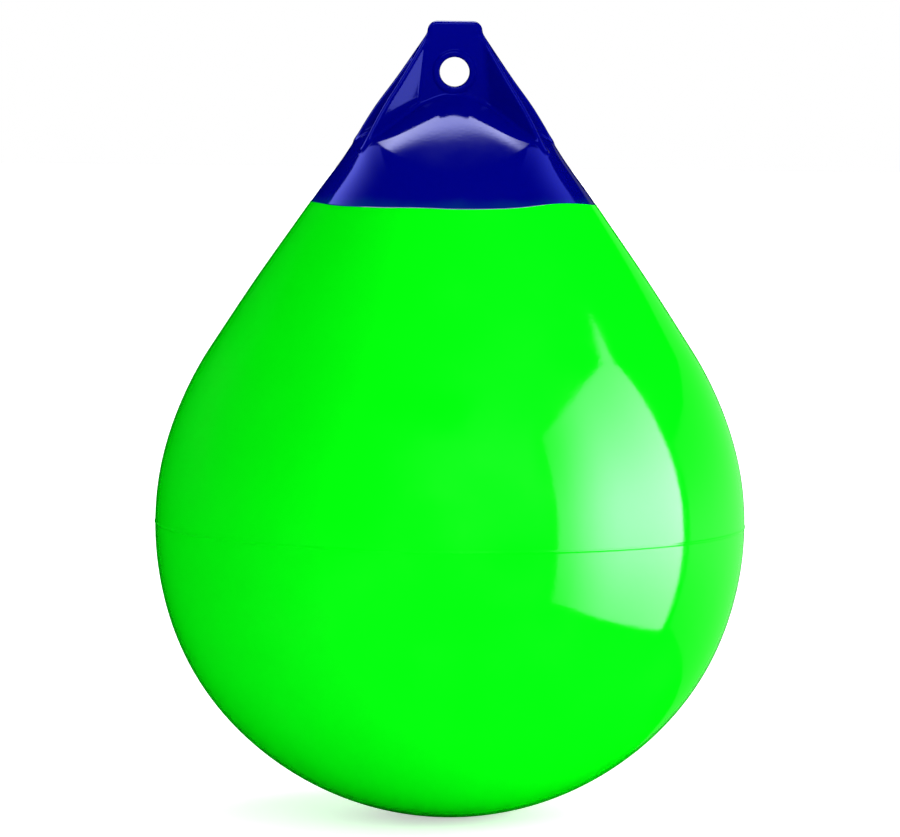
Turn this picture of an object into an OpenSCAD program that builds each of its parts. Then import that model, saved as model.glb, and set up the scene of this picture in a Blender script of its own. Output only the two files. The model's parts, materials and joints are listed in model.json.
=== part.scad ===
// Inflatable teardrop buoy: a hollow vinyl float, a moulded rope-eye head lapped over its neck, and
// an inflation valve in the back of the head. Millimetres, +Z up, the rope eye's centre at the origin
// and the eye's axis along Y, so that the eye faces the front (-Y) and the back.

/* [Float] */
// Widest diameter of the inflated float
float_d = 432; // [380:1:500]
// Radius of the arc that leads from the widest section into the tapered neck
shoulder_r = 227.3; // [217:0.1:260]
// Half angle of the tapered neck in degrees
neck_angle = 34.2; // [32:0.1:37]
// Thickness of the vinyl wall
wall = 3.6; // [2.5:0.1:6]
// Width of the moulding seam around the widest section
seam_w = 3; // [1.5:0.1:6]
// Height of the moulding seam over the float
seam_h = 0.6; // [0.2:0.1:1.5]

/* [Head] */
// From the rope eye up to the point where the neck's line would reach the axis
apex_rise = 57.7; // [50:0.1:66]
// From the rope eye down to the lower edge of the head
edge_drop = 97.4; // [90:0.1:110]
// Length of the head's skirt over the float's neck
lap = 25; // [15:0.5:28]
// Thickness of the head's skirt
skirt_t = 2.8; // [2:0.1:4]
// Thickness of the float's neck inside the skirt
neck_t = 3.2; // [2.4:0.1:5]
// Bond line between the skirt and the neck
bond_gap = 0.2; // [0.1:0.05:0.4]
// From the rope eye down to the tip that the crown's slope runs up to
crown_drop = 14; // [10:0.5:20]
// Slope of the crown below the horizontal in degrees
crown_angle = 29.2; // [25:0.1:33]
// Radius of the rounded shoulder between the skirt and the crown
crown_r = 40; // [12:0.5:60]
// Thickness of the crown over the hollow
roof_t = 12; // [9:0.5:15]
// Thickness of the head's side wall over the hollow
side_t = 9; // [7:0.5:12]

/* [Rope eye] */
// Diameter of the rope eye
eye_d = 22; // [16:0.5:26]
// Diameter of the raised ring around the rope eye
ring_d = 31; // [28:0.5:34]
// Height of the raised ring over the web
ring_h = 1.5; // [0.5:0.1:3]
// Thickness of the upright web
web_t = 17.6; // [12:0.2:22]
// From the rope eye up to the top of the tab
tab_rise = 37; // [32:0.5:44]
// Width of the tab
tab_w = 40; // [36:0.5:46]
// Radius of the tab's top corners
tab_corner = 6; // [3:0.5:10]
// How far the web and the ribs stand out past the line of the neck
fin_proud = 1.2; // [0.6:0.1:2]

/* [Ribs] */
// Thickness of each splayed rib
rib_t = 6; // [4:0.5:8]
// Angle between a rib and the web in degrees
rib_turn = 37.5; // [30:0.5:45]
// Distance from the middle of the web to the root of a rib
rib_root = 21.5; // [18:0.5:26]

/* [Valve] */
// Distance of the valve behind the middle of the head
valve_out = 50; // [44:0.5:56]
// Diameter of the valve's flange
flange_d = 24; // [20:0.5:28]
// Thickness of the valve's flange
flange_t = 2.6; // [2:0.1:4]
// Depth of the flat seat that the flange lies in
seat_depth = 1.2; // [1:0.1:2]
// Diameter of the valve's barrel
barrel_d = 14; // [11:0.5:16]
// Length of the barrel inside the hollow
barrel_past = 5; // [2:0.5:8]
// Diameter of the cup in the flange that takes the plug's head
cup_d = 17; // [15:0.5:18]
// Depth of the cup
cup_depth = 1.4; // [1:0.1:1.8]
// Diameter of the plug's head
plug_d = 16; // [13:0.5:16.5]
// Thickness of the plug's head
plug_t = 3; // [2:0.1:4]
// Width of the slot across the plug's head
slot_w = 2.2; // [1.5:0.1:3]
// Depth of the slot
slot_depth = 1.6; // [1:0.1:2]
// Diameter of the plug's stem
stem_d = 8; // [6:0.5:9]
// Thickness of the sealing ring under the plug's head
seal_t = 1; // [0.6:0.1:1.2]

/* [Hidden] */
$fn = 96;
// Slack between two turned pieces that fit into each other
slip = 0.1;
// Overlap that lets two solids of one moulding run into each other
bite = 4;
float_r = float_d / 2;
edge_z = -edge_drop;
lap_z = edge_z + lap;
// Centre of the shoulder's arc, measured from the axis
arc_x = float_r - shoulder_r;
apex_z = apex_rise;
// Height of the float's widest section
mid_z = apex_z - (shoulder_r / cos(neck_angle) + arc_x) / tan(neck_angle);
// The crown's shoulder is where the crown's slope meets the line of the neck
crown_x = (apex_z + crown_drop) * tan(neck_angle) / (1 - tan(crown_angle) * tan(neck_angle));
crown_z = -crown_drop - crown_x * tan(crown_angle);
// Ends and centre of the shoulder's round, which touches both lines
crown_turn = 90 - neck_angle - crown_angle;
crown_tangent = crown_r * tan(crown_turn / 2);
low_tan = [crown_x + crown_tangent * sin(neck_angle), crown_z - crown_tangent * cos(neck_angle)];
high_tan = [crown_x - crown_tangent * cos(crown_angle), crown_z + crown_tangent * sin(crown_angle)];
crown_mid = low_tan - crown_r * [cos(neck_angle), sin(neck_angle)];
// Where the tab's upright sides meet the sloping edges of the web
tab_z = apex_z - (tab_w / 2 - fin_proud) / tan(neck_angle);
fin_low_z = crown_z + 2.5;
valve_z = -crown_drop - valve_out * tan(crown_angle);
barrel_low = -roof_t - barrel_past;
flange_top = flange_t - seat_depth;
cup_z = flange_top - cup_depth;

// Radius of the neck's outside at a height
function neck_x(z) = (apex_z - z) * tan(neck_angle);

// Radius at a height of a cone that lies a thickness inside the neck's outside
function inset_x(z, t) = neck_x(z) - t / cos(neck_angle);

// Half outline of the float, drawn a thickness inside its outside, up to a height
module float_half(t, top) {
    low_r = float_r - t;
    arc_r = shoulder_r - t;
    tan_x = arc_x + arc_r * cos(neck_angle);
    tan_z = mid_z + arc_r * sin(neck_angle);
    intersection() {
        translate([0, mid_z]) circle(low_r);
        translate([0, mid_z - float_d]) square([float_d, float_d]);
    }
    intersection() {
        translate([arc_x, mid_z]) circle(arc_r);
        translate([0, mid_z]) square([float_d, tan_z - mid_z]);
    }
    polygon([[0, tan_z], [tan_x, tan_z], [inset_x(top, t), top], [0, top]]);
}

// Half section of the float's hollow, narrower inside the neck
module float_hollow() {
    step_z = edge_z - lap / 2;
    neck_in = skirt_t + bond_gap + neck_t;
    float_half(wall, step_z);
    polygon([
        [0, step_z - bite],
        [inset_x(step_z, neck_in), step_z - bite],
        [inset_x(step_z, neck_in), step_z],
        [inset_x(lap_z + 1, neck_in), lap_z + 1],
        [0, lap_z + 1]
    ]);
}

// Half section of the moulding seam: a low round bead on the widest section
module seam_half() {
    bead_r = (seam_w * seam_w / 4 + seam_h * seam_h) / (2 * seam_h);
    translate([float_r + seam_h - bead_r, mid_z]) circle(bead_r);
}

// Hollow vinyl float with its moulding seam and the neck that the head laps over
module float_shell() {
    neck_in = skirt_t + bond_gap;
    neck_top = lap_z - 0.5;
    color([0.02, 0.62, 0.05])
    rotate_extrude()
    difference() {
        union() {
            float_half(0, edge_z);
            seam_half();
            polygon([
                [0, edge_z - bite],
                [inset_x(edge_z, neck_in), edge_z - bite],
                [inset_x(edge_z, neck_in), edge_z],
                [inset_x(neck_top, neck_in), neck_top],
                [0, neck_top]
            ]);
        }
        float_hollow();
    }
}

// Half section of the head's round body: skirt, rounded shoulder and sloping crown
module crown_half() {
    polygon([
        [0, edge_z],
        [neck_x(edge_z), edge_z],
        low_tan,
        high_tan,
        [0, -crown_drop]
    ]);
    intersection() {
        translate(crown_mid) circle(crown_r);
        polygon([crown_mid, 2 * low_tan - crown_mid, 2 * high_tan - crown_mid]);
    }
}

// Half section of the hollow under the head: the lap over the neck, then the air space
module crown_hollow() {
    roof_z = -crown_drop - roof_t / cos(crown_angle);
    corner_x = inset_x(roof_z, side_t) / (1 - tan(crown_angle) * tan(neck_angle));
    corner_z = roof_z - corner_x * tan(crown_angle);
    polygon([
        [0, edge_z - 1],
        [inset_x(edge_z - 1, skirt_t), edge_z - 1],
        [inset_x(lap_z, skirt_t), lap_z],
        [0, lap_z]
    ]);
    polygon([
        [0, lap_z - 1],
        [inset_x(lap_z, side_t), lap_z - 1],
        [inset_x(lap_z, side_t), lap_z],
        [corner_x, corner_z],
        [0, roof_z]
    ]);
}

// Solid that bounds the web and the ribs: a cone a little outside the line of the neck
module fin_cone() {
    translate([0, 0, fin_low_z])
    cylinder(
        h = tab_z - fin_low_z,
        r1 = neck_x(fin_low_z) + fin_proud,
        r2 = neck_x(tab_z) + fin_proud
    );
}

// Outline of the tab seen from the front, with two round corners
module tab_front() {
    corner_x = tab_w / 2 - tab_corner;
    corner_z = tab_rise - tab_corner;
    translate([-tab_w / 2, tab_z - bite]) square([tab_w, corner_z - tab_z + bite]);
    translate([-corner_x, tab_z]) square([2 * corner_x, tab_rise - tab_z]);
    for (side = [-1, 1]) {
        translate([side * corner_x, corner_z]) circle(tab_corner);
    }
}

// Upright web with its tab
module web() {
    intersection() {
        fin_cone();
        translate([-float_r, -web_t / 2, fin_low_z - 1])
        cube([float_d, web_t, tab_z - fin_low_z + 2]);
    }
    rotate([90, 0, 0])
    linear_extrude(web_t, center = true)
    intersection() {
        tab_front();
        polygon([
            [-neck_x(tab_z - bite), tab_z - bite],
            [neck_x(tab_z - bite), tab_z - bite],
            [tab_w / 2, tab_z],
            [tab_w / 2, tab_rise],
            [-tab_w / 2, tab_rise],
            [-tab_w / 2, tab_z]
        ]);
    }
}

// One upright rib that splays out from the web, before the cone trims it
module rib() {
    translate([rib_root, web_t / 2, fin_low_z])
    rotate([0, 0, rib_turn])
    translate([-rib_t, -rib_t / 2, 0])
    cube([float_r, rib_t, tab_z - fin_low_z]);
}

// The four ribs, two on the front of the web and two on its back
module ribs() {
    intersection() {
        fin_cone();
        union() {
            for (side = [0, 1]) {
                for (face = [0, 1]) {
                    mirror([side, 0, 0]) mirror([0, face, 0]) rib();
                }
            }
        }
    }
}

// Places its children on the back of the crown with +Z along the crown's outward normal
module at_valve() {
    translate([0, valve_out, valve_z]) rotate([-crown_angle, 0, 0]) children();
}

// A cylinder along +Z between two heights
module turned(d, low, high) {
    translate([0, 0, low]) cylinder(h = high - low, d = d);
}

// Moulded head: round body, web, ribs and the ring around the rope eye
module rope_head() {
    color([0.01, 0.02, 0.35])
    difference() {
        union() {
            rotate_extrude() crown_half();
            web();
            ribs();
            rotate([90, 0, 0]) cylinder(h = web_t + 2 * ring_h, d = ring_d, center = true);
        }
        rotate_extrude() crown_hollow();
        rotate([90, 0, 0]) cylinder(h = float_d, d = eye_d, center = true);
        at_valve() {
            turned(flange_d + 2 * slip, -seat_depth, flange_d);
            turned(barrel_d + 2 * slip, -3 * roof_t, 0);
        }
    }
}

// Valve body: a flange in the flat seat, with a barrel through the crown into the hollow
module valve_body() {
    color([0.86, 0.86, 0.82])
    at_valve()
    difference() {
        union() {
            turned(flange_d, -seat_depth, flange_top);
            turned(barrel_d, barrel_low, 0);
        }
        turned(cup_d, cup_z, flange_top + 1);
        turned(stem_d + 2 * slip, barrel_low - 1, flange_top);
    }
}

// Flat sealing ring in the valve's cup
module valve_seal() {
    color([0.05, 0.05, 0.05])
    at_valve()
    difference() {
        turned(plug_d, cup_z, cup_z + seal_t);
        turned(stem_d + 2 * slip, cup_z - 1, cup_z + seal_t + 1);
    }
}

// Slotted plug that closes the valve
module valve_plug() {
    head_z = cup_z + seal_t;
    top_z = head_z + plug_t;
    color([0.86, 0.86, 0.82])
    at_valve()
    difference() {
        union() {
            turned(plug_d, head_z, top_z);
            turned(stem_d, barrel_low + 2, head_z + 1);
        }
        translate([-plug_d, -slot_w / 2, top_z - slot_depth])
        cube([2 * plug_d, slot_w, slot_depth + 1]);
    }
}

float_shell();
rope_head();
valve_body();
valve_seal();
valve_plug();
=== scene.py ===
"""Inflatable teardrop buoy, dressed for a plain studio.

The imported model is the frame. The soft float and the moulded head get finished surfaces in its place,
and the inflation valve gets copies of its solids with small rounds along their edges. Sizes of the
pieces are in millimetres, as on the part's drawing, and turn into metres when a mesh is made. Sizes
of the finishes, the studio and the view are in metres. The rope eye's centre is the origin, +Z is up
and the front of the buoy faces -Y.
"""

import json
import logging
import math
from dataclasses import dataclass
from enum import Enum
from typing import Any, Optional, Sequence, Union

import bmesh
import bpy
import numpy as np
from mathutils import Matrix, Vector

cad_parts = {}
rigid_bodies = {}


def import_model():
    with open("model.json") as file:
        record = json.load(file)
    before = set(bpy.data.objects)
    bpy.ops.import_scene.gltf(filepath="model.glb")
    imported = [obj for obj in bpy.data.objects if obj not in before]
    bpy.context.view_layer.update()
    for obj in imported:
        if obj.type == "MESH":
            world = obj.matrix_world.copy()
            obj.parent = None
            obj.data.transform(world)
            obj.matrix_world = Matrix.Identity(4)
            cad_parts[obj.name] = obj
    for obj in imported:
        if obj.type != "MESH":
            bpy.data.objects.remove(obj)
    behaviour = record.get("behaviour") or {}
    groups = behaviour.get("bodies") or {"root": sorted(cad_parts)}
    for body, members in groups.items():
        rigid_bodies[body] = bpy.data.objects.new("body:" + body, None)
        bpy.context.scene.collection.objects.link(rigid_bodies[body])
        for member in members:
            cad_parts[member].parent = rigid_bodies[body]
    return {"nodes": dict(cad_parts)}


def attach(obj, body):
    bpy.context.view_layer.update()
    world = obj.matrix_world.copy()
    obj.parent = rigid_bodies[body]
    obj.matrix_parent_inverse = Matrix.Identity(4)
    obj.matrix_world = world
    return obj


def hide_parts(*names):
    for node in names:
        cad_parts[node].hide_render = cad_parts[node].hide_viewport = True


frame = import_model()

LOG = logging.getLogger("buoy")
MILLIMETRE = 0.001
BODY = "root"
FULL_TURN = 2.0 * math.pi
CORNERS = np.array([[-1, -1], [1, -1], [1, 1], [-1, 1]])
Colour = tuple[float, float, float, float]


class Slot(Enum):
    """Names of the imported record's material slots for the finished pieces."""

    FLOAT = "float_vinyl"
    HEAD = "head_vinyl"
    NYLON = "valve_nylon"
    RUBBER = "valve_rubber"


# Shader graph


class Value:
    """A shader socket that takes part in Python expressions by adding Math nodes."""

    def __init__(self, graph: "Graph", socket: bpy.types.NodeSocket) -> None:
        """Keeps the graph that owns the socket and the socket itself."""
        self.graph = graph
        self.socket = socket

    def _maths(self, operation: str, first: Any, second: Any) -> "Value":
        """Adds one Math node for two operands, each a Value or a number."""
        return self.graph.node("ShaderNodeMath", {"operation": operation}, {0: first, 1: second})

    def __add__(self, other: Any) -> "Value":
        """Sum of two values."""
        return self._maths("ADD", self, other)

    def __radd__(self, other: Any) -> "Value":
        """Sum with a number on the left."""
        return self._maths("ADD", other, self)

    def __sub__(self, other: Any) -> "Value":
        """Difference of two values."""
        return self._maths("SUBTRACT", self, other)

    def __rsub__(self, other: Any) -> "Value":
        """Difference with a number on the left."""
        return self._maths("SUBTRACT", other, self)

    def __mul__(self, other: Any) -> "Value":
        """Product of two values."""
        return self._maths("MULTIPLY", self, other)

    def __rmul__(self, other: Any) -> "Value":
        """Product with a number on the left."""
        return self._maths("MULTIPLY", other, self)

    def __truediv__(self, other: Any) -> "Value":
        """Quotient of two values."""
        return self._maths("DIVIDE", self, other)

    def __rtruediv__(self, other: Any) -> "Value":
        """Quotient with a number on the left."""
        return self._maths("DIVIDE", other, self)

    def __pow__(self, other: Any) -> "Value":
        """Power of a value."""
        return self._maths("POWER", self, other)

    def clamped(self) -> "Value":
        """The value held between 0 and 1."""
        return self.graph.node("ShaderNodeClamp", {}, {"Value": self})


class Graph:
    """Node tree of one material or of the world, emptied and ready to fill."""

    def __init__(self, tree: bpy.types.NodeTree) -> None:
        """Empties the tree.

        Args:
            tree: Node tree to fill.
        """
        self.tree = tree
        tree.nodes.clear()

    def node(
        self,
        kind: str,
        settings: Optional[dict[str, Any]] = None,
        inputs: Optional[dict[Union[str, int], Any]] = None,
        output: Union[str, int] = 0,
    ) -> Value:
        """Adds a node, applies its settings and then fills or links its sockets.

        Args:
            kind: Blender's name of the node type.
            settings: Node properties.
            inputs: Socket name or number to a plain value or a Value to link.
            output: Output socket to hand back.

        Returns:
            The chosen output.
        """
        made = self.tree.nodes.new(kind)
        for key, value in (settings or {}).items():
            setattr(made, key, value)
        for key, value in (inputs or {}).items():
            if isinstance(value, Value):
                self.tree.links.new(value.socket, made.inputs[key])
            else:
                made.inputs[key].default_value = value
        if not made.outputs:
            return Value(self, made.inputs[0])
        return Value(self, made.outputs[output])

    def place(self) -> Value:
        """Object coordinates, in metres in the piece's own frame."""
        return self.node("ShaderNodeTexCoord", output="Object")

    def along(self, axis: str) -> Value:
        """One of the Object coordinates, named by its axis."""
        return self.node("ShaderNodeSeparateXYZ", {}, {0: self.place()}, output=axis)

    def noise(self, scale: float, detail: float = 2.0, roughness: float = 0.5) -> Value:
        """Noise between 0 and 1 over the object's own coordinates.

        Args:
            scale: Noise cells per metre.
            detail: Number of finer octaves.
            roughness: Weight of the finer octaves.

        Returns:
            The noise value.
        """
        inputs = {"Vector": self.place(), "Scale": scale, "Detail": detail, "Roughness": roughness}
        return self.node("ShaderNodeTexNoise", {}, inputs)

    def ramp(self, value: Value, low: float, high: float) -> Value:
        """Smooth step from 0 at one value to 1 at another."""
        settings = {"interpolation_type": "SMOOTHSTEP", "clamp": True}
        return self.node("ShaderNodeMapRange", settings, {"Value": value, 1: low, 2: high})

    def blend(self, share: Value, first: Any, second: Any) -> Value:
        """Mix of two colours by a share between 0 and 1."""
        inputs = {"Factor": share, 6: first, 7: second}
        return self.node("ShaderNodeMix", {"data_type": "RGBA"}, inputs, output=2)

    def finish(self, shader: Value, kind: str = "ShaderNodeOutputMaterial") -> None:
        """Links a shader to the output of the tree."""
        self.node(kind, {}, {"Surface": shader})

    def plastic(self, skin: dict[str, Any], sockets: dict[str, Any]) -> None:
        """Ends the tree in a plastic with a bumpy skin.

        Args:
            skin: Sockets of the Bump node.
            sockets: Sockets of the Principled shader, apart from its normal.
        """
        bump = self.node("ShaderNodeBump", {}, skin)
        self.finish(self.node("ShaderNodeBsdfPrincipled", {}, {**sockets, "Normal": bump}))


def blank(name: str) -> tuple[bpy.types.Material, Graph]:
    """A new material and its empty graph."""
    made = bpy.data.materials.new(name)
    made.use_nodes = True
    return made, Graph(made.node_tree)


def colour(red: float, green: float, blue: float) -> Colour:
    """An opaque linear colour."""
    return (red, green, blue, 1.0)


WHITE = colour(1.0, 1.0, 1.0)


@dataclass(frozen=True)
class Cloud:
    """Noise pattern of a finish, which rises smoothly from 0 to 1 between two levels of the noise."""

    scale: float
    detail: float
    roughness: float = 0.5
    low: float = 0.35
    high: float = 0.75

    def share(self, graph: Graph) -> Value:
        """The pattern as a share between 0 and 1."""
        return graph.ramp(graph.noise(self.scale, self.detail, self.roughness), self.low, self.high)


@dataclass(frozen=True)
class Vinyl:
    """Glossy moulded vinyl, whose gloss takes a little of the vinyl's own colour.

    The tone drifts from its body colour to a deeper one, smudges make it a little rougher, and its skin
    has a fine peel and slow swells. An edge colour shows below a ragged height.
    """

    name: str
    body: Colour
    deep: Colour
    tint: Colour
    rough: float = 0.06
    shine: float = 0.8
    grain: float = 0.00008
    edge: Optional[Colour] = None
    edge_low: float = -0.0985
    edge_high: float = -0.0875
    edge_share: float = 0.6
    ragged_scale: float = 60.0
    ragged_height: float = 0.008
    drift: Cloud = Cloud(9.0, 3.0)
    drift_share: float = 0.35
    smudge: Cloud = Cloud(22.0, 4.0, 0.6, low=0.4, high=0.8)
    smudge_rough: float = 0.05
    peel_scale: float = 420.0
    peel_roughness: float = 0.45
    swell_scale: float = 30.0
    swell_weight: float = 2.5
    skin_strength: float = 0.35

    def material(self) -> bpy.types.Material:
        """Makes the material.

        Returns:
            Vinyl with slow drifts of tone and sheen, a fine skin, and, where an edge colour is given,
            a thin edge through which the piece below shows.
        """
        made, graph = blank(self.name)
        tone = graph.blend(self.drift.share(graph) * self.drift_share, self.body, self.deep)
        if self.edge is not None:
            ragged = graph.along("Z") + (graph.noise(self.ragged_scale) - 0.5) * self.ragged_height
            thin = 1.0 - graph.ramp(ragged, self.edge_low, self.edge_high)
            tone = graph.blend(thin * self.edge_share, tone, self.edge)
        peel = graph.noise(self.peel_scale, roughness=self.peel_roughness)
        swell = graph.noise(self.swell_scale, detail=1.0)
        relief = peel + swell * self.swell_weight
        graph.plastic(
            {"Strength": self.skin_strength, "Distance": self.grain, "Height": relief},
            {
                "Base Color": tone,
                "Roughness": self.smudge.share(graph) * self.smudge_rough + self.rough,
                "Specular IOR Level": self.shine,
                "Specular Tint": self.tint,
            },
        )
        return made


@dataclass(frozen=True)
class Moulded:
    """Satin moulded nylon or matt rubber for the small valve pieces."""

    name: str
    body: Colour
    worn: Colour
    rough: float = 0.4
    worn_rough: float = 0.15
    cloud: Cloud = Cloud(180.0, 4.0)
    grain: float = 0.00004
    grain_scale: float = 2600.0
    skin_strength: float = 0.5

    def material(self) -> bpy.types.Material:
        """Makes the material.

        Returns:
            A satin plastic with cloudy tone and fine mould grain.
        """
        made, graph = blank(self.name)
        cloud = self.cloud.share(graph)
        relief = graph.noise(self.grain_scale)
        tone = graph.blend(cloud, self.body, self.worn)
        graph.plastic(
            {"Strength": self.skin_strength, "Distance": self.grain, "Height": relief},
            {"Base Color": tone, "Roughness": cloud * self.worn_rough + self.rough},
        )
        return made


FLOAT_VINYL = Vinyl(
    "float_green",
    body=colour(0.0005, 0.88, 0.003),
    deep=colour(0.0003, 0.82, 0.002),
    tint=colour(0.72, 1.0, 0.98),
)
HEAD_VINYL = Vinyl(
    "head_blue",
    body=colour(0.0002, 0.0006, 0.185),
    deep=colour(0.0001, 0.0004, 0.165),
    tint=colour(0.27, 0.31, 1.0),
    grain=0.00003,
    edge=colour(0.0, 0.03, 0.15),
)
NYLON = Moulded("valve_white", colour(0.5, 0.5, 0.46), colour(0.4, 0.4, 0.36))
RUBBER = Moulded("valve_black", colour(0.015, 0.015, 0.016), colour(0.03, 0.03, 0.03), rough=0.65)


# Meshes


def put_mesh(
    name: str,
    points: np.ndarray,
    faces: Sequence[np.ndarray],
    material: bpy.types.Material,
    normals: Optional[np.ndarray] = None,
) -> bpy.types.Object:
    """Makes a smooth-shaded object from whole arrays.

    Args:
        name: Name of the piece.
        points: Vertices in millimetres, one row each.
        faces: Index arrays, each with three or four columns.
        material: Finish of the piece.
        normals: Shading normals, one row for each vertex, where the mesh's own aren't enough.

    Returns:
        The linked object, at the origin.
    """
    mesh = bpy.data.meshes.new(name)
    sizes = np.concatenate([np.full(len(f), f.shape[1], dtype=np.int32) for f in faces])
    corners = np.concatenate([f.ravel() for f in faces]).astype(np.int32)
    starts = np.concatenate([[0], np.cumsum(sizes)[:-1]]).astype(np.int32)
    mesh.vertices.add(len(points))
    mesh.vertices.foreach_set("co", (points * MILLIMETRE).astype(np.float32).ravel())
    mesh.loops.add(len(corners))
    mesh.loops.foreach_set("vertex_index", corners)
    mesh.polygons.add(len(sizes))
    mesh.polygons.foreach_set("loop_start", starts)
    mesh.polygons.foreach_set("use_smooth", np.ones(len(sizes), dtype=bool))
    mesh.update(calc_edges=True)
    mesh.validate()
    if normals is not None:
        mesh.normals_split_custom_set_from_vertices(normals.astype(np.float32))
    mesh.materials.append(material)
    made = bpy.data.objects.new(name, mesh)
    bpy.context.scene.collection.objects.link(made)
    return made


def settle(made: bpy.types.Object, slot: Slot, *nodes: str) -> bpy.types.Object:
    """Lets a piece ride on the buoy and puts it in the place of its solids.

    Args:
        made: The piece.
        slot: Material slot of the record; not used.
        nodes: Solids that the piece stands for.

    Returns:
        The piece.
    """
    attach(made, BODY)
    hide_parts(*nodes)
    LOG.info("%s: %d faces", made.name, len(made.data.polygons))
    return made


def bell(value: np.ndarray, middle: float, reach: float) -> np.ndarray:
    """Bell curve: e to the power of minus the square of the distance from its middle in reaches."""
    return np.exp(-(((value - middle) / reach) ** 2))


def turned(radius: np.ndarray, turn: np.ndarray, height: np.ndarray) -> np.ndarray:
    """Points (r cos a, r sin a, z) of a grid of radii and heights around the Z axis, row by row."""
    return np.stack([radius * np.cos(turn), radius * np.sin(turn), height], axis=-1).reshape(-1, 3)


def quad_edges(quads: np.ndarray) -> np.ndarray:
    """Edges of quads, each one in the direction in which its quad turns."""
    return np.concatenate([quads[:, [a, b]] for a, b in ((0, 1), (1, 2), (2, 3), (3, 0))])


def revolved(radius: np.ndarray, height: np.ndarray) -> tuple[np.ndarray, list[np.ndarray]]:
    """Closed surface around the Z axis from a grid of radii and heights.

    Row i is a step along the half section, column j a turn of 2*pi*j/columns about the axis, and the
    point is (r cos a, r sin a, z). The first and the last row are closed by a fan to their middle.

    Args:
        radius: Radii, rows by columns.
        height: Heights, rows by columns.

    Returns:
        The vertices and the face arrays.
    """
    rows, columns = radius.shape
    turn = np.arange(columns) * (FULL_TURN / columns)
    points = turned(radius, turn, height)
    first = np.array([[0.0, 0.0, height[0].mean()]])
    last = np.array([[0.0, 0.0, height[-1].mean()]])
    here = np.arange(columns)
    after = (here + 1) % columns
    low = np.arange(rows - 1)[:, None] * columns
    high = low + columns
    quads = np.stack([low + here, low + after, high + after, high + here], axis=-1).reshape(-1, 4)
    top = (rows - 1) * columns
    pole = np.full(columns, rows * columns)
    fans = [
        np.stack([after, here, pole], axis=-1),
        np.stack([top + here, top + after, pole + 1], axis=-1),
    ]
    return np.concatenate([points, first, last]), [quads, *fans]


@dataclass(frozen=True)
class Outline:
    """Lines that the float and the head share, as on the part's drawing.

    Each swell of the edge between them is a rise, the angle of its middle and its reach in radians, and
    each ripple is a height, a count of waves around the buoy and the angle at which they start.
    """

    widest: float = 432.0
    shoulder: float = 227.3
    angle: float = math.radians(34.2)
    apex: float = 57.7
    edge: float = -97.4
    lap: float = 25.0
    skirt: float = 2.8
    bond: float = 0.2
    side: float = 9.0
    edge_rise: float = 1.0
    swells: tuple[tuple[float, float, float], ...] = (
        (4.0, math.radians(-38.0), 0.4),
        (1.6, math.pi, 0.6),
    )
    ripples: tuple[tuple[float, int, float], ...] = ((0.3, 3, 0.7), (0.2, 7, 2.0), (0.1, 13, 0.0))

    @property
    def arc(self) -> float:
        """Distance of the shoulder arc's centre from the axis."""
        return self.widest / 2 - self.shoulder

    @property
    def middle(self) -> float:
        """Height of the widest section."""
        return self.apex - (self.shoulder / math.cos(self.angle) + self.arc) / math.tan(self.angle)

    @property
    def lap_top(self) -> float:
        """Height at which the head's skirt ends inside."""
        return self.edge + self.lap

    def neck(self, height: np.ndarray, inset: float = 0.0) -> np.ndarray:
        """Radius at a height of the cone that lies an inset inside the neck's outside."""
        return (self.apex - height) * math.tan(self.angle) - inset / math.cos(self.angle)

    def edge_line(self, turn: np.ndarray) -> np.ndarray:
        """Height of the edge between head and float around the buoy.

        The level edge, plus a swell of a few millimetres on the right of the front and a lower one on
        the left, each a bell curve of the angle from its middle, plus three slow sine ripples of less
        than half a millimetre.

        Args:
            turn: Angles about the axis from +X.

        Returns:
            Heights of the edge.
        """
        line = np.full_like(turn, self.edge + self.edge_rise)
        for rise, middle, reach in self.swells:
            line += rise * bell(np.angle(np.exp(1j * (turn - middle))), 0.0, reach)
        for rise, count, start in self.ripples:
            line += rise * np.sin(count * turn + start)
        return line


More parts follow.
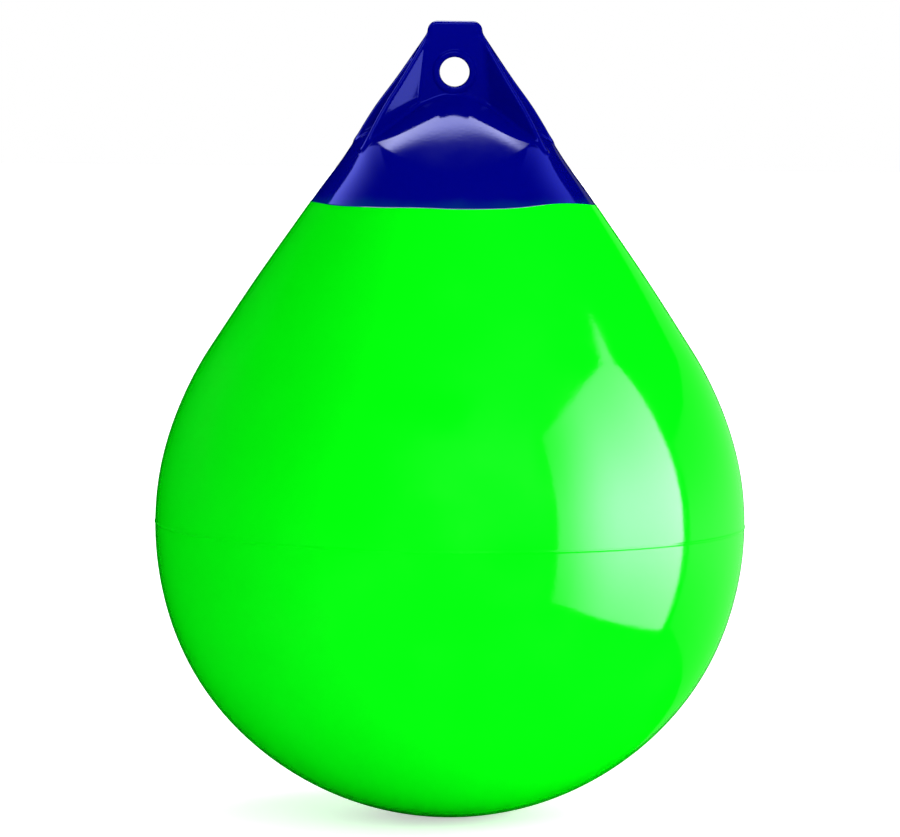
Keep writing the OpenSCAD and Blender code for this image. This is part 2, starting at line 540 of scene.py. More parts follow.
@dataclass
class Float:
    """Hollow green float: round below, tapering to the neck, with a moulding seam.

    Each swell of the skin is a rise, the height of its middle and its reach. The angle of the foot, at
    which the lowest row lies below the widest section, is in degrees.
    """

    outline: Outline
    wall: float = 3.6
    neck_wall: float = 3.2
    lap_gap: float = 0.5
    seam_width: float = 3.0
    seam_height: float = 0.42
    seam_near: float = 3.0
    arc_start: float = 4.2
    edge_round: float = 0.12
    foot: float = -88.5
    foot_fade: float = 60.0
    neck_clear: float = 8.0
    neck_fade: float = 120.0
    sag: float = 0.14
    sag_level: float = 100.0
    swells: tuple[tuple[float, float, float], ...] = (
        (1.2, -150.0, 45.0),
        (-0.9, -240.0, 45.0),
        (1.4, -448.0, 62.0),
    )
    columns: int = 360
    low_rows: int = 90
    seam_rows: int = 33
    arc_rows: int = 40
    neck_rows: int = 37
    round_rows: int = 6
    inner_rows: tuple[int, int] = (20, 40)

    def outside(self, turn: np.ndarray) -> tuple[np.ndarray, np.ndarray]:
        """Half section of the outside, from the bottom up to the edge of the head.

        The lower half is a circle about the widest section, the bead of the seam is a raised cosine on
        it, a wider arc leads into the straight neck, and the neck ends in a small round under the
        head's edge line.

        Args:
            turn: Angles of the columns.

        Returns:
            Radii and heights, rows by columns.
        """
        line = self.outline
        radius = line.widest / 2
        low = np.radians(np.linspace(self.foot, 0.0, self.low_rows, endpoint=False)[:-1])
        bead = np.linspace(-self.seam_near, self.seam_near, self.seam_rows)
        high = np.linspace(math.asin(self.arc_start / line.shoulder), line.angle, self.arc_rows)
        bead_r = np.where(
            bead < 0,
            np.sqrt(radius**2 - bead**2),
            line.arc + np.sqrt(line.shoulder**2 - bead**2),
        )
        bump = np.cos(np.clip(bead / self.seam_width, -0.5, 0.5) * math.pi) ** 2
        section_r = np.concatenate(
            [radius * np.cos(low), bead_r + self.seam_height * bump, line.arc + line.shoulder * np.cos(high)]
        )
        section_z = line.middle + np.concatenate(
            [radius * np.sin(low), bead, line.shoulder * np.sin(high)]
        )
        top = line.edge_line(turn) - self.edge_round
        share = np.linspace(0.0, 1.0, self.neck_rows)[1:, None]
        neck_z = section_z[-1] + share * (top - section_z[-1])[None, :]
        swing = np.linspace(line.angle, math.pi / 2, self.round_rows)[1:, None]
        centre_r = line.neck(top, self.edge_round)
        round_r = centre_r + self.edge_round * np.cos(swing)
        round_z = top + self.edge_round * np.sin(swing)
        wide = np.ones((1, len(turn)))
        radii = np.concatenate([section_r[:, None] * wide, line.neck(neck_z), round_r])
        heights = np.concatenate([section_z[:, None] * wide, neck_z, round_z])
        return radii, heights

    def slack(self, turn: np.ndarray, height: np.ndarray) -> np.ndarray:
        """How far the soft skin stands out of its drawing.

        Bell curves of the height make it fuller or thinner. Two sine waves that wind around the buoy and
        one that stands still make it slightly uneven, and they fade out towards the neck and the foot.

        Args:
            turn: Angles of the columns.
            height: Heights, rows by columns.

        Returns:
            Lengths along the radius, rows by columns.
        """
        line = self.outline
        level = (height - line.middle) / self.sag_level
        waves = np.sin(3 * turn + 1.3 * level) + 0.7 * np.sin(5 * turn - 2.1 * level + 1.0)
        waves = waves + 0.8 * np.sin(2.6 * level + 0.5) * np.cos(2 * turn)
        neck = np.clip((line.edge - self.neck_clear - height) / self.neck_fade, 0.0, 1.0)
        foot = np.clip((height - line.middle + line.widest / 2) / self.foot_fade, 0.0, 1.0)
        full = sum(rise * bell(height, middle, reach) for rise, middle, reach in self.swells)
        return self.sag * waves * neck * foot + full

    def inside(self, turn: np.ndarray) -> tuple[np.ndarray, np.ndarray]:
        """Half section of the neck's rebate and of the hollow, from the edge back to the bottom.

        Straight steps down the rebate and the thicker neck, then the arcs of the outside less the wall.

        Args:
            turn: Angles of the columns.

        Returns:
            Radii and heights, rows by columns.
        """
        line = self.outline
        rebate = line.skirt + line.bond
        thick = rebate + self.neck_wall
        edge = line.edge_line(turn)
        top = line.lap_top - self.lap_gap
        step = line.edge - line.lap / 2
        wide = np.ones((1, len(turn)))
        rows_r = [line.neck(edge, rebate)[None, :]]
        rows_z = [edge[None, :]]
        for height, inset in ((top, rebate), (top, thick), (step, thick), (step, self.wall)):
            rows_r.append(line.neck(np.array(height), inset) * wide)
            rows_z.append(height * wide)
        high = np.linspace(line.angle, 0.0, self.inner_rows[0])
        low = np.radians(np.linspace(0.0, self.foot, self.inner_rows[1]))[1:]
        arc = line.shoulder - self.wall
        ball = line.widest / 2 - self.wall
        radius = np.concatenate([line.arc + arc * np.cos(high), ball * np.cos(low)])
        height = line.middle + np.concatenate([arc * np.sin(high), ball * np.sin(low)])
        rows_r.append(radius[:, None] * wide)
        rows_z.append(height[:, None] * wide)
        return np.concatenate(rows_r), np.concatenate(rows_z)

    def build(self) -> bpy.types.Object:
        """Makes the float and puts it in the place of its solid.

        Returns:
            The finished piece.
        """
        turn = np.arange(self.columns) * (FULL_TURN / self.columns)
        out_r, out_z = self.outside(turn)
        in_r, in_z = self.inside(turn)
        out_r = out_r + self.slack(turn[None, :], out_z)
        points, faces = revolved(np.concatenate([out_r, in_r]), np.concatenate([out_z, in_z]))
        made = put_mesh("float", points, faces, FLOAT_VINYL.material())
        return settle(made, Slot.FLOAT, "float_shell")


# Head


def round_max(first: np.ndarray, second: np.ndarray, width: Union[float, np.ndarray]) -> np.ndarray:
    """Larger of two fields, rounded where they differ by less than a width.

    The larger one, plus a quarter of the width times the square of the share of the width that is left.
    """
    left = np.clip(1.0 - np.abs(first - second) / width, 0.0, None)
    return np.maximum(first, second) + left * left * (width / 4)


def round_min(first: np.ndarray, second: np.ndarray, width: float) -> np.ndarray:
    """Smaller of two fields, filled in where they differ by less than a width."""
    return -round_max(-first, -second, width)


@dataclass
class Head:
    """Blue moulded head: skirt, crown, web with its tab, splayed ribs and the ringed rope eye.

    Fillets of every size run into each other here, so the crown and what stands on it are the zero
    level of one distance field. Its surface is netted on a grid, and the plain skirt below is a turned
    surface that starts from the net's own rim.
    """

    outline: Outline
    crown_tip: float = 10.37
    crown_rate: float = 0.6534
    crown_bend: float = 0.0008
    crown_wide: float = 0.75
    shoulder_round: float = 3.0
    shoulder_side: float = 1.5
    fillet: float = 3.0
    rib_fillet: float = 1.6
    tab_fillet: float = 1.6
    ring_fillet: float = 1.4
    boss_fillet: float = 4.0
    web_round: float = 3.4
    rib_round: float = 3.0
    foot_round: float = 3.0
    ring_round: float = 1.8
    eye_round: float = 2.2
    boss_round: float = 1.5
    seat_round: float = 0.6
    waist_depth: float = 1.5
    waist_high: float = -63.0
    waist_reach: float = 19.0
    fin_proud: float = 0.1
    fin_bulge: float = 1.2
    bulge_high: float = -25.0
    bulge_reach: float = 15.0
    foot_draw: float = 0.9
    foot_high: float = -40.0
    foot_reach: float = 12.0
    fin_low: float = -51.0
    rib_low: float = -57.0
    web: float = 17.6
    tab_top: float = 37.0
    tab_width: float = 40.0
    tab_round: float = 7.0
    tab_root: float = 8.0
    rib: float = 6.0
    rib_turn: float = math.radians(39.5)
    rib_root: float = 27.7
    rib_lean: float = 0.105
    rib_top: float = 27.0
    eye: float = 21.6
    ring: float = 31.0
    ring_rise: float = 1.5
    seat_out: float = 50.0
    seat_high: float = -41.94
    seat_tilt: float = math.radians(29.2)
    seat_width: float = 24.2
    seat_depth: float = 1.2
    boss_width: float = 31.0
    boss_height: float = 12.0
    roof: float = -27.7
    roof_drop: float = 3.0
    roof_radii: tuple[float, float] = (40.0, 5.0)
    ledge_round: float = 1.5
    edge_round: float = 0.2
    edge_gap: float = 0.05
    skirt_start: float = 0.8
    skirt_rows: int = 16
    round_rows: int = 6
    net_low: float = -88.0
    net_step: float = 1.15
    net_room: float = 3.0
    least_slope: float = 0.05
    rounds: int = 3
    smoothings: int = 2

    def crown(self, x: np.ndarray, y: np.ndarray, z: np.ndarray) -> np.ndarray:
        """Distance over the crown, a slightly oval dome that steepens outwards.

        The height falls by a rate times the oval radius, which counts X a little less than Y, plus a
        bend times its square, and the height over it is divided by the length of its slope.

        Args:
            x: X coordinates.
            y: Y coordinates.
            z: Z coordinates.

        Returns:
            The distance, negative below the crown.
        """
        oval = np.hypot(x * self.crown_wide, y)
        fall = oval * (self.crown_rate + oval * self.crown_bend)
        return (z + self.crown_tip + fall) / np.hypot(1.0, self.crown_rate + 2.0 * self.crown_bend * oval)

    def waist(self, height: np.ndarray) -> np.ndarray:
        """How far the skirt draws in from the straight neck at a height: a bell curve."""
        return self.waist_depth * bell(height, self.waist_high, self.waist_reach)

    def proud(self, height: np.ndarray) -> np.ndarray:
        """How far the fins stand out of the straight neck: a low bulge that draws in at their feet."""
        bulge = self.fin_bulge * bell(height, self.bulge_high, self.bulge_reach)
        foot = np.clip((self.foot_high - height) / self.foot_reach, 0.0, 1.0)
        return self.fin_proud + bulge - self.foot_draw * foot

    def field(self, x: np.ndarray, y: np.ndarray, z: np.ndarray) -> np.ndarray:
        """Distance to the head's surface, negative inside.

        The crown and the neck's cone meet in a shoulder that is rounder at the sides. The web is a plate
        inside a slightly wider cone with a rounded tab on top, each rib is a plate inside that cone that
        leaves the web at an angle, and all of them are filled in where they meet. The ring is added
        around the eye, the eye's bore is taken away with rounded rims, and a round boss carries the
        valve's flat seat.

        Args:
            x: X coordinates.
            y: Y coordinates.
            z: Z coordinates.

        Returns:
            The field at each point.
        """
        line = self.outline
        cos, sin = math.cos(line.angle), math.sin(line.angle)
        radius = np.hypot(x, y)
        cone = radius * cos - (line.apex - z) * sin
        shoulder = self.shoulder_round + self.shoulder_side * (x / np.maximum(radius, 1.0)) ** 2
        body = round_max(cone + self.waist(z) * cos, self.crown(x, y, z), shoulder)

        bound = cone - self.proud(z) * cos
        side, face = np.abs(x), np.abs(y)
        over_x = side - (self.tab_width / 2 - self.tab_round)
        over_z = z - (self.tab_top - self.tab_round)
        tab = np.hypot(np.maximum(over_x, 0.0), np.maximum(over_z, 0.0))
        tab = tab + np.minimum(np.maximum(over_x, over_z), 0.0) - self.tab_round
        under = np.maximum(bound, z - (self.tab_top - self.tab_root))
        web = round_max(face - self.web / 2, round_min(under, tab, self.tab_fillet), self.web_round)
        web = round_max(web, self.fin_low - z, self.foot_round)

        turn_cos, turn_sin = math.cos(self.rib_turn), math.sin(self.rib_turn)
        off_x = side - self.rib_root + self.rib_lean * z
        off_y = face - self.web / 2
        across = np.abs(off_y * turn_cos - off_x * turn_sin) / math.hypot(1.0, self.rib_lean * turn_sin)
        along = -(off_x * turn_cos + off_y * turn_sin) - self.rib
        within = np.maximum(bound, z - self.rib_top)
        ribs = np.maximum(round_max(across - self.rib / 2, within, self.rib_round), along)
        fin = round_min(web, round_max(ribs, self.rib_low - z, self.foot_round), self.rib_fillet)

        eye = np.hypot(x, z)
        ring = round_max(eye - self.ring / 2, off_y - self.ring_rise, self.ring_round)
        solid = round_min(round_min(body, fin, self.fillet), ring, self.ring_fillet)
        solid = round_max(solid, self.eye / 2 - eye, self.eye_round)

        back, up = y - self.seat_out, z - self.seat_high
        rise = back * math.sin(self.seat_tilt) + up * math.cos(self.seat_tilt)
        out = np.hypot(x, back * math.cos(self.seat_tilt) - up * math.sin(self.seat_tilt))
        boss = round_max(out - self.boss_width / 2, rise, self.boss_round)
        boss = round_max(boss, -self.boss_height - rise, self.boss_round)
        seat = np.maximum(out - self.seat_width / 2, -self.seat_depth - rise)
        return round_max(round_min(solid, boss, self.boss_fillet), -seat, self.seat_round)

    def slope(self, points: np.ndarray, reach: float = 0.02) -> np.ndarray:
        """Gradient of the field at points, by central differences."""
        parts = []
        for axis in np.eye(3) * reach:
            ahead, behind = points + axis, points - axis
            parts.append((self.field(*ahead.T) - self.field(*behind.T)) / (2 * reach))
        return np.stack(parts, axis=-1)

    def onto(self, points: np.ndarray) -> np.ndarray:
        """Moves points along the field's gradient onto its zero level, by Newton's steps."""
        for _ in range(self.rounds):
            slope = self.slope(points)
            length = np.maximum((slope**2).sum(1), self.least_slope)
            shift = (self.field(*points.T) / length)[:, None] * slope
            points = points - np.clip(shift, -self.net_step, self.net_step)
        return points

    def net(self) -> tuple[np.ndarray, np.ndarray]:
        """Nets the field's zero level on a grid.

        Each grid cell that the surface passes through gets one vertex, the mean of the points where
        the surface crosses the cell's edges. Each crossed grid edge joins the vertices of the four
        cells around it in a quad. The vertices are then evened out and moved onto the surface.

        Returns:
            The vertices and the quads, open only at the lowest layer of cells.
        """
        reach = self.outline.neck(np.array(self.net_low)) + self.net_room
        span = np.arange(-reach, reach + self.net_step, self.net_step)
        rise = np.arange(self.net_low, self.tab_top + self.net_room, self.net_step)
        axes = (span, span, rise)
        x, y, z = np.meshgrid(*axes, indexing="ij", sparse=True)
        level = self.field(x, y, z)
        cells = np.array(level.shape) - 1
        inside = level < 0.0
        unit = np.eye(3, dtype=int)
        ids, places, quads = [], [], []
        for axis in range(3):
            lower = np.take(inside, range(cells[axis]), axis)
            upper = np.take(inside, range(1, cells[axis] + 1), axis)
            start = np.argwhere(lower != upper)
            step, beside, beyond = np.roll(unit, -axis, 0)
            first = level[tuple(start.T)]
            share = first / (first - level[tuple((start + step).T)])
            place = start + step * share[:, None]
            ring = np.stack([start - beside - beyond, start - beyond, start, start - beside], 1)
            ring = np.where((first < 0.0)[:, None, None], ring, ring[:, ::-1])
            real = ((ring >= 0) & (ring < cells)).all(2)
            within = np.clip(ring, 0, cells - 1).transpose(2, 0, 1)
            flat = np.where(real, np.ravel_multi_index(within, cells), -1)
            ids.append(flat[real])
            places.append(np.repeat(place[:, None], 4, 1)[real])
            quads.append(flat[real.all(1)])
        kept, index = np.unique(np.concatenate(ids), return_inverse=True)
        place = np.concatenate(places)
        count = np.bincount(index)
        points = np.stack([np.bincount(index, place[:, axis]) / count for axis in range(3)], axis=-1)
        points = points * self.net_step + np.array([a[0] for a in axes])
        faces = np.searchsorted(kept, np.concatenate(quads))
        return self.even(points, faces), faces

    def even(self, points: np.ndarray, faces: np.ndarray) -> np.ndarray:
        """Evens out the net.

        Each vertex over the lowest layer moves half way to the mean of its neighbours and then back onto
        the surface, a few times over.

        Args:
            points: Vertices.
            faces: Quads.

        Returns:
            The moved vertices.
        """
        ends = quad_edges(faces)
        ends = np.concatenate([ends, ends[:, ::-1]])
        count = np.maximum(np.bincount(ends[:, 0], minlength=len(points)), 1)
        low = points[:, 2] < self.net_low + 1.5 * self.net_step
        points = self.onto(points)
        for _ in range(self.smoothings):
            near = points[ends[:, 1]].T
            mean = np.stack([np.bincount(ends[:, 0], part, len(points)) / count for part in near], -1)
            moved = self.onto(0.5 * (points + mean))
            points = np.where(low[:, None], points, moved)
        return points

    def skirt(self, turn: np.ndarray, rim: np.ndarray) -> tuple[np.ndarray, np.ndarray]:
        """Half section of the skirt from below the net to the roof of the hollow.

        The cone of the neck, which the net's rim runs into along a parabola, a small round at the edge
        line, the edge's flat underside, the inside of the lap, the ledge over the float's neck and the
        sloping roof.

        Args:
            turn: Angles of the columns.
            rim: Radii of the net's rim, carried down the cone to the net's lowest height.

        Returns:
            Radii and heights, rows by columns.
        """
        line = self.outline
        edge = line.edge_line(turn) + self.edge_gap
        centre_z = edge + self.edge_round
        start = self.net_low - self.skirt_start
        share = np.linspace(0.0, 1.0, self.skirt_rows)[:, None]
        outer_z = start + share * (centre_z - start)[None, :]
        swing = np.linspace(line.angle, -math.pi / 2, self.round_rows)[1:, None]
        round_r = line.neck(centre_z, self.edge_round) + self.edge_round * np.cos(swing)
        round_z = centre_z + self.edge_round * np.sin(swing)
        wide = np.ones((1, len(turn)))
        outer_r = line.neck(outer_z) - self.waist(outer_z)
        short = outer_r[0] + (start - self.net_low) * math.tan(line.angle) - rim
        outer_r = outer_r - np.maximum(short, 0.0)[None, :] * (1.0 - share) ** 2
        rows_r = [outer_r, round_r, line.neck(edge, line.skirt)[None, :]]
        rows_z = [outer_z, round_z, edge[None, :]]
        for height, inset in ((line.lap_top, line.skirt), (line.lap_top, line.side)):
            rows_r.append(line.neck(np.array(height), inset) * wide)
            rows_z.append(height * wide)
        ledge = line.neck(np.array(line.lap_top), line.side) - self.ledge_round
        roof_r = np.array([ledge, *self.roof_radii])
        half_way = (line.lap_top + self.roof) / 2
        roof_z = np.array([line.lap_top + self.ledge_round, half_way, self.roof - self.roof_drop])
        rows_r.append(roof_r[:, None] * wide)
        rows_z.append(roof_z[:, None] * wide)
        return np.concatenate(rows_r), np.concatenate(rows_z)

    def build(self) -> bpy.types.Object:
        """Makes the head and puts it in the place of its solid.

        Returns:
            The finished piece.
        """
        points, quads = self.net()
        total = len(points)
        edges = quad_edges(quads)
        open_edge = ~np.isin(edges[:, 1] * total + edges[:, 0], edges[:, 0] * total + edges[:, 1])
        rim, column = np.unique(edges[open_edge], return_inverse=True)
        column = column.reshape(-1, 2)
        rim_x, rim_y, rim_z = points[rim].T
        turn = np.arctan2(rim_y, rim_x)
        reach = np.hypot(rim_x, rim_y) + (rim_z - self.net_low) * math.tan(self.outline.angle)
        radius, height = self.skirt(turn, reach)
        low = turned(radius, turn, height)
        first, second = column.T
        lower = total + np.arange(len(low)).reshape(radius.shape)
        upper = np.concatenate([rim[None, :], lower[:-1]])
        strips = np.stack(
            [upper[:, second], upper[:, first], lower[:, first], lower[:, second]], axis=-1
        ).reshape(-1, 4)
        middle = np.array([[0.0, 0.0, self.roof]])
        pole = np.full(len(first), total + len(low))
        fan = np.stack([lower[-1, second], lower[-1, first], pole], axis=-1)
        slope = self.slope(points)
        slope /= np.maximum(np.linalg.norm(slope, axis=1), 1e-6)[:, None]
        made = put_mesh(
            "head",
            np.concatenate([points, low, middle]),
            [np.concatenate([quads, strips]), fan],
            HEAD_VINYL.material(),
            np.concatenate([slope, np.zeros((len(low) + 1, 3))]),
        )
        return settle(made, Slot.HEAD, "rope_head")


# Studio


class Side(Enum):
    """Side of a light panel from which its glow rises: the panel's own axis and the way along it."""

    LEFT = ("X", 1.0)
    RIGHT = ("X", -1.0)
    TOP = ("Y", -1.0)


class Lit(Enum):
    """Pieces that a light panel lights where it doesn't light all: the head alone, or all but the head."""

    HEAD = "head"
    REST = "rest"


def aimed(place: tuple[float, float, float], facing: tuple[float, float, float]) -> Matrix:
    """Place of a light or a camera that looks from one point at another."""
    away = Vector(facing) - Vector(place)
    return Matrix.Translation(place) @ away.to_track_quat("-Z", "Y").to_matrix().to_4x4()


@dataclass(frozen=True)
class Softbox:
    """Soft light panel that shows in the gloss of the pieces and that the camera doesn't see.

    Its glow rises from the least share to full over a share of the panel, starting at one side, and the
    bow draws the middle of that rise forward. It fades out over a share of the width at both ends, and
    a hot line is given by its place and its half width. The slant lifts one upper corner and lowers the
    other.
    """

    name: str
    place: tuple[float, float, float]
    facing: tuple[float, float, float]
    width: float
    height: float
    glow: float
    tone: Colour = WHITE
    side: Side = Side.LEFT
    rise: float = 0.0
    least: float = 0.0
    hot: Optional[tuple[float, float]] = None
    bow: float = 0.0
    fade: float = 0.0
    slant: float = 0.0
    lit: Optional[Lit] = None

    def material(self) -> bpy.types.Material:
        """Makes the glow: full, times a smooth rise from one side, times a fade, times a level hot line.

        The rise starts later by the bow times the square of the distance from the middle, and the hot
        line is 1 over 1 plus the square of the distance in half widths.

        Returns:
            The material.
        """
        made, graph = blank(self.name)
        level: Any = self.glow
        if self.rise > 0.0:
            axis, way = self.side.value
            span = self.width if axis == "X" else self.height
            along = graph.along(axis) * way
            if self.bow > 0.0:
                across = graph.along("X")
                along = along - across * across * self.bow
            share = graph.ramp(along, -span / 2, span * (self.rise - 0.5))
            level = (share * (1.0 - self.least) + self.least) * level
        if self.fade > 0.0:
            across = graph.along("X")
            aside = (across * across) ** 0.5
            level = (1.0 - graph.ramp(aside, self.width * (0.5 - self.fade), self.width / 2)) * level
        if self.hot is not None:
            middle, half = self.hot
            away = (graph.along("Y") - middle) / half
            level = level / (away * away + 1.0)
        glow = graph.node("ShaderNodeEmission", {}, {"Color": self.tone, "Strength": level})
        graph.finish(glow)
        return made

    def build(self, head: bpy.types.Object) -> bpy.types.Object:
        """Makes the panel, turned towards the point it faces.

        Args:
            head: The piece that the panel may light alone or leave out.

        Returns:
            The panel.
        """
        corner = CORNERS * np.array([self.width, self.height]) / 2
        corner[2:, 1] += np.array([1.0, -1.0]) * self.slant
        points = np.column_stack([corner / MILLIMETRE, np.zeros(4)])
        panel = put_mesh(self.name, points, [np.array([[3, 2, 1, 0]])], self.material())
        panel.matrix_world = aimed(self.place, self.facing)
        panel.visible_camera = False
        panel.visible_shadow = False
        panel.visible_transmission = False
        if self.lit is not None:
            chosen = bpy.data.collections.new(self.name)
            for piece in bpy.context.scene.objects:
                if piece.type == "MESH" and (piece == head) == (self.lit is Lit.HEAD):
                    chosen.objects.link(piece)
            panel.light_linking.receiver_collection = chosen
        return panel


@dataclass(frozen=True)
class Glow:
    """Soft light from one side of the surround: a power of the cosine to its middle."""

    towards: tuple[float, float, float]
    level: float
    power: float = 4.0

    def strength(self, graph: Graph) -> Value:
        """Strength of the light in the direction that the graph is asked for."""
        direction = graph.node("ShaderNodeTexCoord", output="Generated")
        middle = Vector(self.towards).normalized()
        dot = {0: direction, 1: middle}
        cosine = graph.node("ShaderNodeVectorMath", {"operation": "DOT_PRODUCT"}, dot, output="Value")
        return cosine.clamped() ** self.power * self.level


KEY = Softbox(
    "key",
    place=(1.406, -0.664, -0.018),
    facing=(0.421, -0.49, -0.018),
    width=1.7,
    height=2.135,
    glow=7.4,
    rise=0.55,
    least=0.2,
    hot=(-0.162, 0.75),
    slant=0.1,
    lit=Lit.REST,
)
CARD = Softbox(
    "card",
    place=(0.2, -0.061, -0.023),
    facing=(0.0, -0.02, 0.0),
    width=0.055,
    height=0.07,
    glow=2.8,
    tone=colour(0.6, 0.65, 1.0),
    lit=Lit.HEAD,
)
TOP = Softbox(
    "top",
    place=(-0.025, 1.01, 1.656),
    facing=(-0.025, -0.05, -0.04),
    width=1.58,
    height=1.225,
    glow=5.6,
    side=Side.TOP,
    rise=0.098,
    bow=0.97,
    fade=0.12,
)
LEFT = Softbox(
    "left",
    place=(-1.12, 0.53, 0.93),
    facing=(0.0, 0.0, -0.08),
    width=0.94,
    height=0.9,
    glow=3.3,
    tone=colour(0.28, 0.31, 1.0),
    side=Side.RIGHT,
    rise=1.0,
    hot=(-0.25, 0.4),
    lit=Lit.HEAD,
)
RIGHT = Softbox(
    "right",
    place=(1.12, 0.53, 0.93),
    facing=(0.0, 0.0, -0.08),
    width=0.94,
    height=0.9,
    glow=1.7,
    tone=colour(0.12, 0.15, 1.0),
    rise=1.0,
    hot=(-0.2, 0.5),
    lit=Lit.HEAD,
)
RIM = Softbox(
    "rim",
    place=(1.3, 1.2, -0.45),
    facing=(0.0, 0.0, -0.4),
    width=2.1,
    height=1.6,
    glow=0.36,
    hot=(0.0, 0.45),
)
HALO = Softbox(
    "halo",
    place=(-0.6, -2.2, 2.0),
    facing=(0.0, 0.0, -0.03),
    width=2.0,
    height=0.8,
    glow=2.6,
    tone=colour(0.35, 0.4, 1.0),
    lit=Lit.HEAD,
)
FRONT = Glow(towards=(0.39, -0.84, 0.36), level=4.3, power=5.0)
BACK = Glow(towards=(-0.48, 0.87, 0.03), level=4.6)


@dataclass
class Studio:
    """Pale floor, white surround and soft light panels.

    The floor glows a little to the camera alone, more and more between two distances from the buoy, so
    that it runs into the surround.
    """

    panels: tuple[Softbox, ...] = (KEY, CARD, TOP, LEFT, RIGHT, RIM, HALO)
    glows: tuple[Glow, ...] = (FRONT, BACK)
    floor_height: float = -546.5
    floor_size: float = 30.0
    floor_paint: Colour = colour(0.86, 0.86, 0.86)
    fill: float = 0.2
    lift_near: float = 0.5
    lift_far: float = 0.75
    near: float = 0.7
    far: float = 1.6

    def surround(self) -> None:
        """World that is white to the camera and soft light to the rest, even but for its glows."""
        world = bpy.data.worlds.new("surround")
        bpy.context.scene.world = world
        world.use_nodes = True
        graph = Graph(world.node_tree)
        camera = graph.node("ShaderNodeLightPath", output="Is Camera Ray")
        clear = graph.node("ShaderNodeLightPath", output="Is Transmission Ray")
        light = sum((glow.strength(graph) for glow in self.glows), self.fill)
        white = (camera + clear).clamped()
        level = white + (1.0 - white) * light
        glow = graph.node("ShaderNodeBackground", {}, {"Color": WHITE, "Strength": level})
        graph.finish(glow, "ShaderNodeOutputWorld")
        world.cycles_visibility.glossy = False

    def floor(self) -> bpy.types.Object:
        """Makes the pale floor under the buoy, which keeps its shadow.

        Returns:
            The floor.
        """
        half = self.floor_size / 2 / MILLIMETRE
        points = np.column_stack([CORNERS * half, np.full(len(CORNERS), self.floor_height)])
        made, graph = blank("floor_pale")
        paint = graph.node("ShaderNodeBsdfDiffuse", {}, {"Color": self.floor_paint})
        camera = graph.node("ShaderNodeLightPath", output="Is Camera Ray")
        away = graph.node("ShaderNodeVectorMath", {"operation": "LENGTH"}, {0: graph.place()}, output="Value")
        share = graph.ramp(away, self.near, self.far) * (self.lift_far - self.lift_near) + self.lift_near
        lift = graph.node("ShaderNodeEmission", {}, {"Color": WHITE, "Strength": camera * share})
        graph.finish(graph.node("ShaderNodeAddShader", {}, {0: paint, 1: lift}))
        floor = put_mesh("floor", points, [np.array([[0, 1, 2, 3]])], made)
        floor.visible_glossy = False
        return floor

    def build(self, head: bpy.types.Object) -> None:
        """Sets up the surround, the floor and the light panels, some of which light the head alone."""
        bpy.context.scene.view_settings.view_transform = "Standard"
        self.surround()
        self.floor()
        for panel in self.panels:
            panel.build(head)


@dataclass
class View:
    """Camera at the photograph's angle. The sensor and the lens are in millimetres."""

    distance: float = 3.9
    height: float = 0.053
    target: tuple[float, float] = (-0.0006, -0.2536)
    lens: float = 213.5
    sensor: float = 36.0
    reach: float = 100.0
    lean: float = math.radians(0.62)

    def build(self) -> bpy.types.Object:
        """Makes the camera and sets it as the scene's own.

        Returns:
            The camera.
        """
        lens = bpy.data.cameras.new("camera")
        lens.lens = self.lens
        lens.sensor_width = self.sensor
        lens.clip_end = self.reach
        camera = bpy.data.objects.new("camera", lens)
        place = (0.0, -self.distance, self.height)
        target = (self.target[0], 0.0, self.target[1])
        camera.matrix_world = aimed(place, target) @ Matrix.Rotation(self.lean, 4, "Z")
        bpy.context.scene.collection.objects.link(camera)
        bpy.context.scene.camera = camera
        return camera


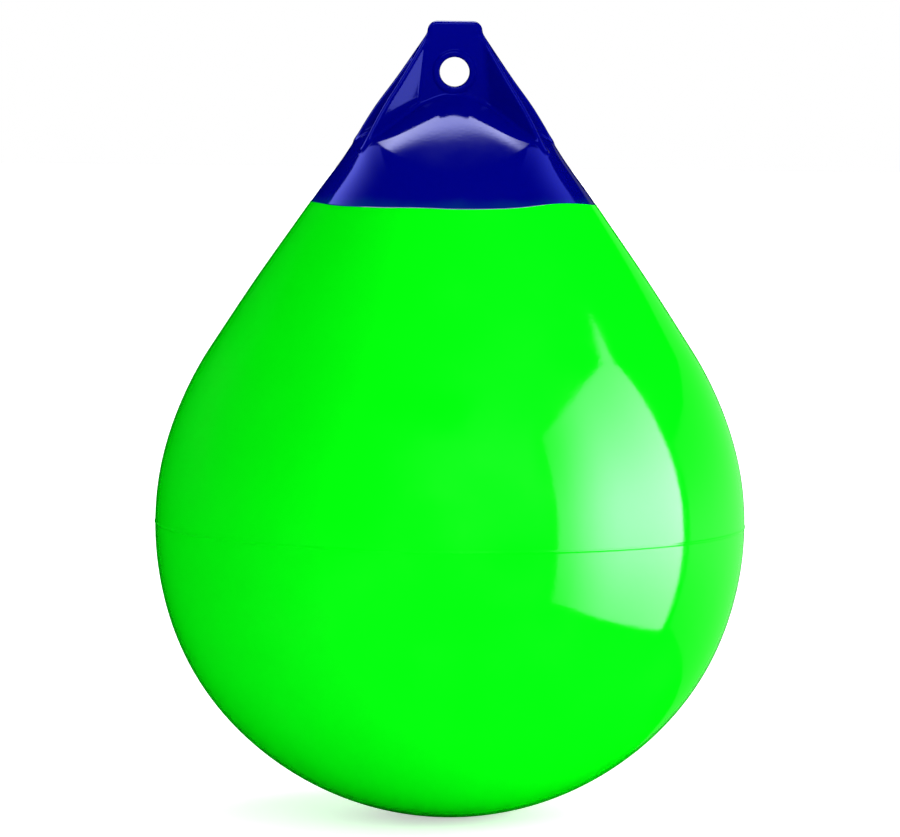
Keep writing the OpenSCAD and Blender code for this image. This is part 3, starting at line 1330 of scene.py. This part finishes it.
@dataclass
class Valve:
    """Inflation valve on the back of the crown: a nylon body, a rubber seal and a slotted nylon plug."""

    edge_round: float = 0.25
    round_steps: int = 2
    crease: float = math.radians(40.0)
    weld: float = 0.001
    flat: float = math.radians(1.0)
    finishes: tuple[tuple[str, str, Moulded, Slot], ...] = (
        ("nylon_body", "valve_body", NYLON, Slot.NYLON),
        ("rubber_seal", "valve_seal", RUBBER, Slot.RUBBER),
        ("nylon_plug", "valve_plug", NYLON, Slot.NYLON),
    )

    def welded(self, name: str, solid: str) -> bpy.types.Mesh:
        """Copy of a solid's mesh whose loose triangles are merged and whose flat faces are made whole.

        Args:
            name: Name of the copy.
            solid: Name of the solid.

        Returns:
            The mesh, smooth but for its sharp edges.
        """
        shape = bmesh.new()
        shape.from_mesh(frame["nodes"][solid].data)
        bmesh.ops.remove_doubles(shape, verts=shape.verts, dist=self.weld * MILLIMETRE)
        bmesh.ops.dissolve_limit(shape, angle_limit=self.flat, verts=shape.verts, edges=shape.edges)
        mesh = bpy.data.meshes.new(name)
        shape.to_mesh(mesh)
        shape.free()
        if "custom_normal" in mesh.attributes:
            mesh.attributes.remove(mesh.attributes["custom_normal"])
        mesh.shade_smooth()
        mesh.set_sharp_from_angle(angle=self.crease)
        return mesh

    def dress(self, name: str, solid: str, finish: Moulded, slot: Slot) -> bpy.types.Object:
        """Puts a copy of one of the valve's solids in its place, with small rounds along its sharp edges.

        Args:
            name: Name of the piece.
            solid: Name of the solid.
            finish: Its finish.
            slot: Material slot of the record.

        Returns:
            The finished piece.
        """
        mesh = self.welded(name, solid)
        mesh.materials.clear()
        mesh.materials.append(finish.material())
        made = bpy.data.objects.new(name, mesh)
        bpy.context.scene.collection.objects.link(made)
        rounds = made.modifiers.new("rounds", "BEVEL")
        rounds.width = self.edge_round * MILLIMETRE
        rounds.segments = self.round_steps
        rounds.limit_method = "ANGLE"
        rounds.angle_limit = self.crease
        rounds.harden_normals = True
        return settle(made, slot, solid)

    def build(self) -> None:
        """Dresses the valve's pieces one after the other."""
        for name, solid, finish, slot in self.finishes:
            self.dress(name, solid, finish, slot)


def main() -> None:
    """Builds the camera, the buoy's pieces and the studio."""
    logging.basicConfig(level=logging.INFO, format="%(name)s %(message)s")
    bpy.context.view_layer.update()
    View().build()
    outline = Outline()
    Float(outline).build()
    head = Head(outline).build()
    Valve().build()
    Studio().build(head)


if __name__ == "__main__":
    main()
